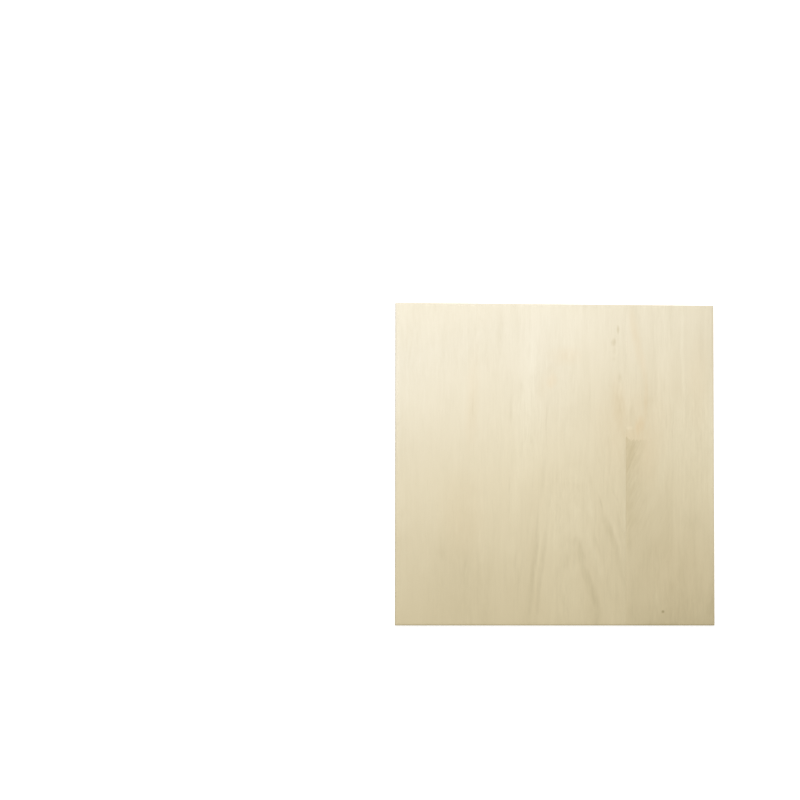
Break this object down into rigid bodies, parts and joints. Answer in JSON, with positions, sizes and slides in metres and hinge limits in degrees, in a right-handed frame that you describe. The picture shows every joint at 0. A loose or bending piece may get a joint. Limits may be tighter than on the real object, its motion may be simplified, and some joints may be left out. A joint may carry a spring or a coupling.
{
  "type": "plywood sheet",
  "caption": "Thin square sheet of pale sanded plywood with straight edges, for cutting, backing or facing.",
  "frame": {"origin": "middle of the underside, on the surface that the sheet lies on", "axes": "+Z out of the show face, +Y along the grain of the face veneers, +X across that grain, to the right seen from above with +Y up"},
  "size_m": [0.3048, 0.3048, 0.003],
  "materials": {
    "pale_plywood": "sanded, unfinished"
  },
  "bodies": {
    "root": {"plywood_sheet": "pale_plywood"}
  },
  "joints": []
}
